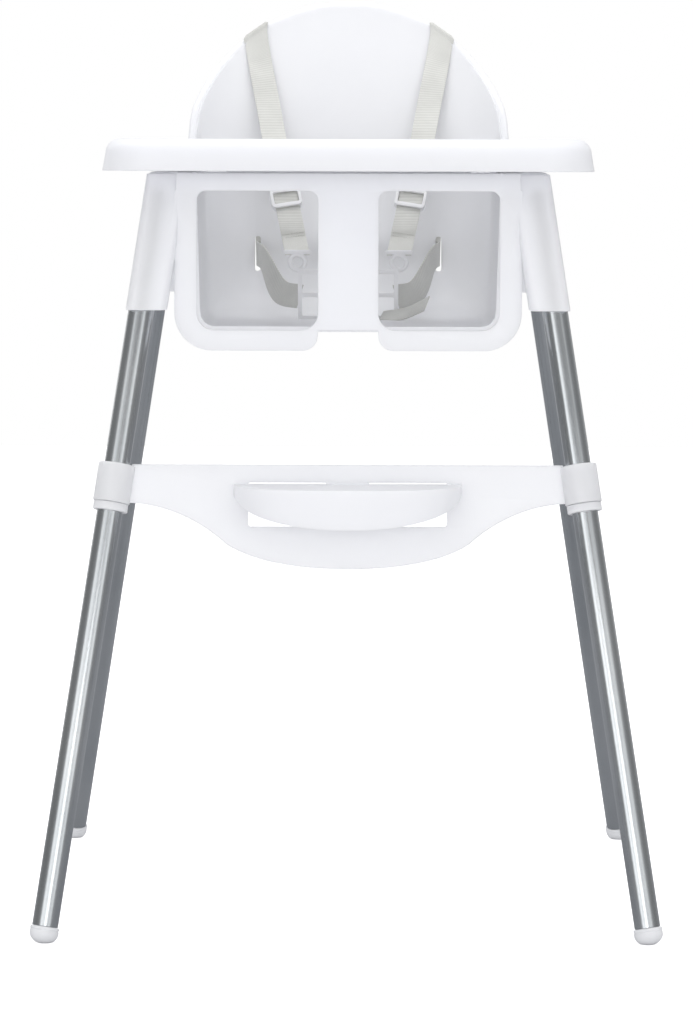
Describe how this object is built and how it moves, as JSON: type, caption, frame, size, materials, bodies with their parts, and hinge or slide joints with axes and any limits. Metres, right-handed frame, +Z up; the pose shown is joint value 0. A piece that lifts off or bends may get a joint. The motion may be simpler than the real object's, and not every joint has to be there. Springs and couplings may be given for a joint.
{
  "type": "baby high chair",
  "caption": "Moulded bucket seat with a round back on splayed steel legs, with a lift-off tray, a footrest across the front legs and a webbing harness.",
  "frame": {"origin": "on the floor, in the middle of the box round the whole chair", "axes": "+Z up; the child faces -Y; +X is on the right when the chair is seen from the front"},
  "size_m": [0.6302, 0.6183, 0.914],
  "materials": {
    "white_plastic": "moulded polypropylene, satin, very fine grain",
    "foot_plastic": "moulded white foot cap",
    "steel": "satin grey lacquered steel tube",
    "spring_steel": "plain spring steel",
    "webbing": "woven light grey polyester webbing",
    "fitting_plastic": "moulded off-white acetal fittings"
  },
  "bodies": {
    "chair": {"seat_shell": "white_plastic", "footrest": "white_plastic", "footrest_collet_left": "white_plastic", "footrest_collet_right": "white_plastic", "leg_tube_front_left": "steel", "leg_tube_front_right": "steel", "leg_tube_rear_left": "steel", "leg_tube_rear_right": "steel", "foot_cap_front_left": "foot_plastic", "foot_cap_front_right": "foot_plastic", "foot_cap_rear_left": "foot_plastic", "foot_cap_rear_right": "foot_plastic", "button_spring_front_left": "spring_steel", "button_spring_front_right": "spring_steel", "button_spring_rear_left": "spring_steel", "button_spring_rear_right": "spring_steel", "shoulder_strap_left": "webbing", "shoulder_strap_right": "webbing", "waist_strap": "webbing", "crotch_strap": "webbing", "crotch_keeper": "fitting_plastic", "hook_fitting_left": "fitting_plastic", "hook_fitting_right": "fitting_plastic", "ladder_clip_left": "fitting_plastic", "ladder_clip_right": "fitting_plastic", "buckle_body": "fitting_plastic"},
    "tray": {"tray": "white_plastic"},
    "button_front_left": {"snap_button_front_left": "spring_steel"},
    "button_front_right": {"snap_button_front_right": "spring_steel"},
    "button_rear_left": {"snap_button_rear_left": "spring_steel"},
    "button_rear_right": {"snap_button_rear_right": "spring_steel"},
    "slider_left": {"strap_slider_left": "fitting_plastic"},
    "slider_right": {"strap_slider_right": "fitting_plastic"},
    "release": {"buckle_release": "fitting_plastic"}
  },
  "joints": [
    {"name": "tray_lift", "type": "slide", "parent": "chair", "child": "tray", "axis": [0, 0, 1], "range_m": [0, 0.06]},
    {"name": "button_front_left_press", "type": "slide", "parent": "chair", "child": "button_front_left", "axis": [0.0286, -0.981, 0.1919], "range_m": [0, 0.005], "stiffness_N_per_m": 400, "deforming": ["button_spring_front_left"]},
    {"name": "button_front_right_press", "type": "slide", "parent": "chair", "child": "button_front_right", "axis": [-0.0286, -0.981, 0.1919], "range_m": [0, 0.005], "stiffness_N_per_m": 400, "deforming": ["button_spring_front_right"]},
    {"name": "button_rear_left_press", "type": "slide", "parent": "chair", "child": "button_rear_left", "axis": [0.0364, 0.9744, 0.222], "range_m": [0, 0.005], "stiffness_N_per_m": 400, "deforming": ["button_spring_rear_left"]},
    {"name": "button_rear_right_press", "type": "slide", "parent": "chair", "child": "button_rear_right", "axis": [-0.0364, 0.9744, 0.222], "range_m": [0, 0.005], "stiffness_N_per_m": 400, "deforming": ["button_spring_rear_right"]},
    {"name": "slider_left_travel", "type": "slide", "parent": "chair", "child": "slider_left", "axis": [-0.1791, 0.5411, 0.8217], "range_m": [-0.015, 0.015]},
    {"name": "slider_right_travel", "type": "slide", "parent": "chair", "child": "slider_right", "axis": [0.1791, 0.5411, 0.8217], "range_m": [-0.015, 0.015]},
    {"name": "buckle_release_press", "type": "slide", "parent": "chair", "child": "release", "axis": [0, 1, 0], "range_m": [0, 0.003], "stiffness_N_per_m": 400}
  ]
}
